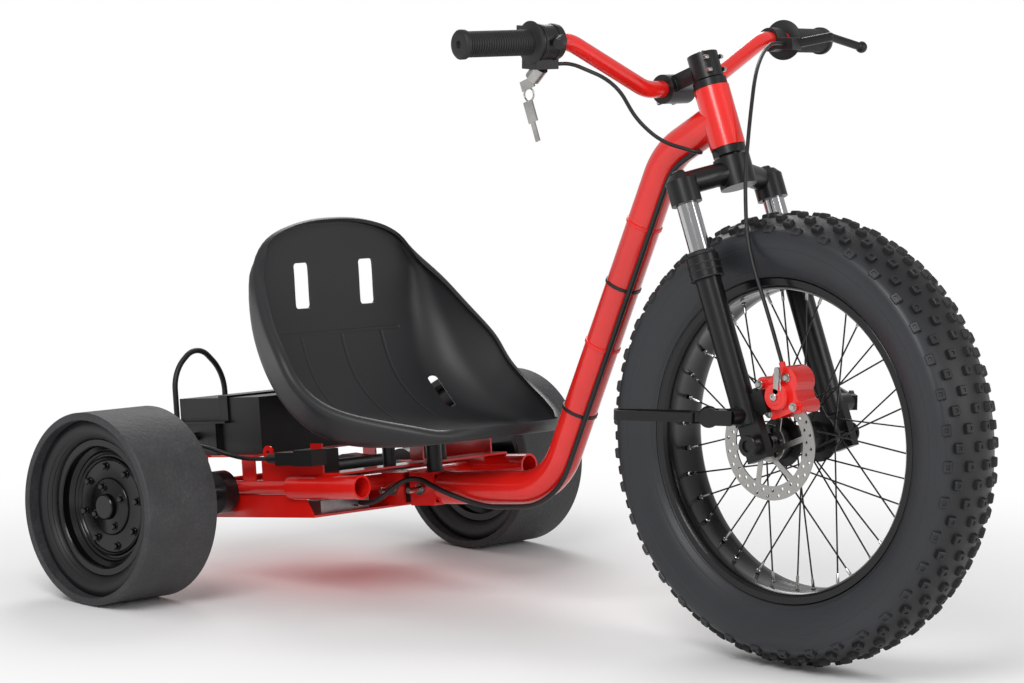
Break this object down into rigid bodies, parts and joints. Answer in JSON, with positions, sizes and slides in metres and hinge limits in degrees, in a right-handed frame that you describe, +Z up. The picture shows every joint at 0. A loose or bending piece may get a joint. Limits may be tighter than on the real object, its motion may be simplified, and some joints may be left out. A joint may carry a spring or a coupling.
{
  "type": "electric drift trike",
  "caption": "Electric drift trike with a fat steered front wheel, suspension fork, bent tube frame, bucket seat and slick-sleeved rear wheels on a driven axle.",
  "frame": {"origin": "on the ground, under the middle of the whole trike's bounding box", "axes": "+X forward, +Y to the rider's left, +Z up"},
  "size_m": [1.321, 0.852, 0.8091],
  "materials": {
    "red_frame": "gloss powder coat",
    "black_frame": "satin powder coat",
    "dark_plastic": "fine grain",
    "grey_case": "brushed case",
    "bolt_steel": "zinc plated",
    "chrome_tube": "polished",
    "rotor_steel": "ground",
    "seat_plastic": "fine grain",
    "cord_black": "smooth",
    "grip_rubber": "ribbed",
    "front_tread": "knobby",
    "rear_rubber": "plain",
    "sleeve_plastic": "scuffed",
    "red_caliper": "anodised look"
  },
  "bodies": {
    "chassis": {"main_tube": "red_frame", "head_tube": "red_frame", "front_clamp": "red_frame", "rear_sleeve": "red_frame", "sliding_beam": "black_frame", "clamp_bolts": "bolt_steel", "side_rails": "red_frame", "cross_tubes": "red_frame", "back_tube": "red_frame", "tray": "red_frame", "top_plate": "red_frame", "axle_bearings": "black_frame", "ear_plates": "red_frame", "battery_shelf": "red_frame", "battery_box": "dark_plastic", "battery_strap": "black_frame", "drive_motor": "black_frame", "chain_guard": "black_frame", "controller": "grey_case", "relay_box": "dark_plastic", "charge_socket": "dark_plastic", "charge_plug": "dark_plastic", "seat": "seat_plastic", "seat_bracket": "black_frame", "headset": "black_frame", "battery_lead": "cord_black", "charge_lead": "cord_black", "loom": "cord_black"},
    "steering": {"steerer": "black_frame", "fork_crown": "black_frame", "stanchions": "chrome_tube", "fork_lowers": "black_frame", "front_axle": "bolt_steel", "handlebar": "red_frame", "stem": "black_frame", "grips": "grip_rubber", "throttle_housing": "dark_plastic", "key_switch": "bolt_steel", "keys": "bolt_steel", "lever_perch": "black_frame", "brake_lever": "black_frame", "caliper": "red_caliper", "peg_mounts": "black_frame", "brake_cable": "cord_black", "throttle_cable": "cord_black"},
    "front_wheel": {"front_tyre": "front_tread", "front_rim": "black_frame", "front_hub": "black_frame", "front_rotor": "rotor_steel"},
    "rear_axle": {"rear_shaft": "bolt_steel", "rear_rims": "black_frame", "rear_tyres": "rear_rubber", "rear_sleeves": "sleeve_plastic"},
    "peg_right": {"peg_right": "black_frame"},
    "peg_left": {"peg_left": "black_frame"}
  },
  "joints": [
    {"name": "steer", "type": "hinge", "parent": "chassis", "child": "steering", "pos_m": [0.23833, 0, 0.65089], "axis": [-0.3827, 0, 0.9239], "range_deg": [-38, 38], "deforming": ["throttle_cable"]},
    {"name": "front_wheel_spin", "type": "hinge", "parent": "steering", "child": "front_wheel", "pos_m": [0.3705, 0, 0.29], "axis": [0, 1, 0], "continuous": true},
    {"name": "rear_axle_spin", "type": "hinge", "parent": "chassis", "child": "rear_axle", "pos_m": [-0.5155, 0, 0.131], "axis": [0, 1, 0], "continuous": true},
    {"name": "peg_right_fold", "type": "hinge", "parent": "steering", "child": "peg_right", "pos_m": [0.33311, -0.135, 0.32542], "axis": [-0.6428, 0.766, 0], "range_deg": [0, 80]},
    {"name": "peg_left_fold", "type": "hinge", "parent": "steering", "child": "peg_left", "pos_m": [0.33311, 0.135, 0.32542], "axis": [0.6428, 0.766, 0], "range_deg": [0, 80]}
  ]
}
